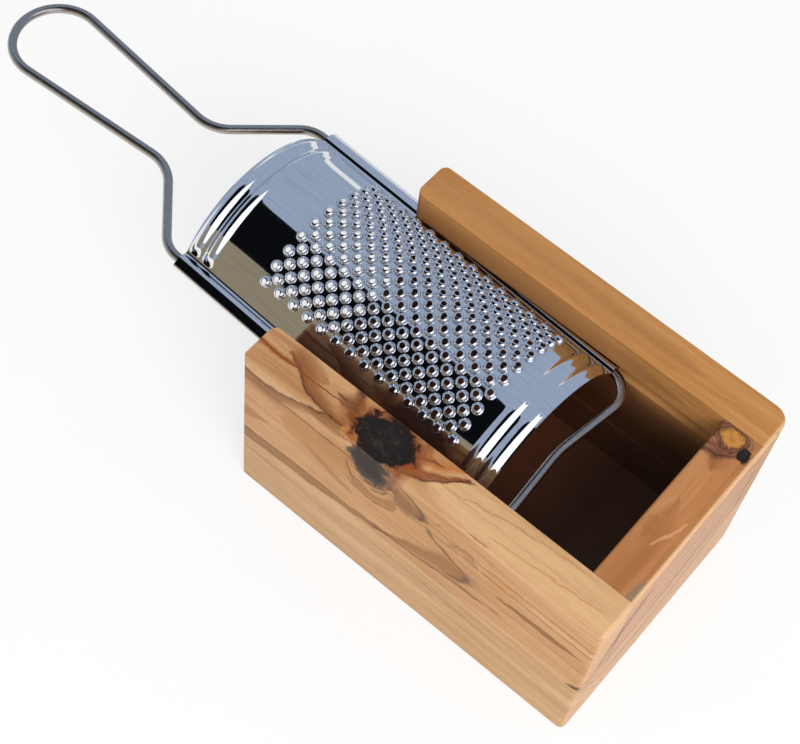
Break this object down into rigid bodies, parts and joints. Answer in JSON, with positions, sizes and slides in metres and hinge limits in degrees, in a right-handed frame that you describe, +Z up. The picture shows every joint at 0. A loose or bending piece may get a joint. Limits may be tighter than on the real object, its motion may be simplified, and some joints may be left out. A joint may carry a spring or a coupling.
{
  "type": "hand grater with wooden box",
  "caption": "Arched sheet grater with pierced teeth on a bent wire frame with a loop handle, sliding in grooves of an open wooden box that catches the gratings.",
  "frame": {"origin": "middle of the box's flat underside", "axes": "+Z up, +X along the box towards its closed end (the handle points to -X), +Y towards the far side wall"},
  "size_m": [0.1886, 0.063, 0.0553],
  "materials": {
    "base_wood": "sanded and oiled olive wood",
    "near_wall_wood": "sanded and oiled olive wood with a dark knot",
    "far_wall_wood": "sanded and oiled olive wood",
    "end_wall_wood": "sanded and oiled olive wood",
    "wire_steel": "drawn stainless wire, satin",
    "plate_steel": "mirror polished stainless sheet"
  },
  "bodies": {
    "box": {"base_block": "base_wood", "near_side_wall": "near_wall_wood", "far_side_wall": "far_wall_wood", "end_wall": "end_wall_wood"},
    "grater": {"wire_frame": "wire_steel", "grater_plate": "plate_steel"}
  },
  "joints": [
    {"name": "grater_slide", "type": "slide", "parent": "box", "child": "grater", "axis": [0.9989, -0.0476, 0], "range_m": [-0.05, 0.0175]}
  ]
}
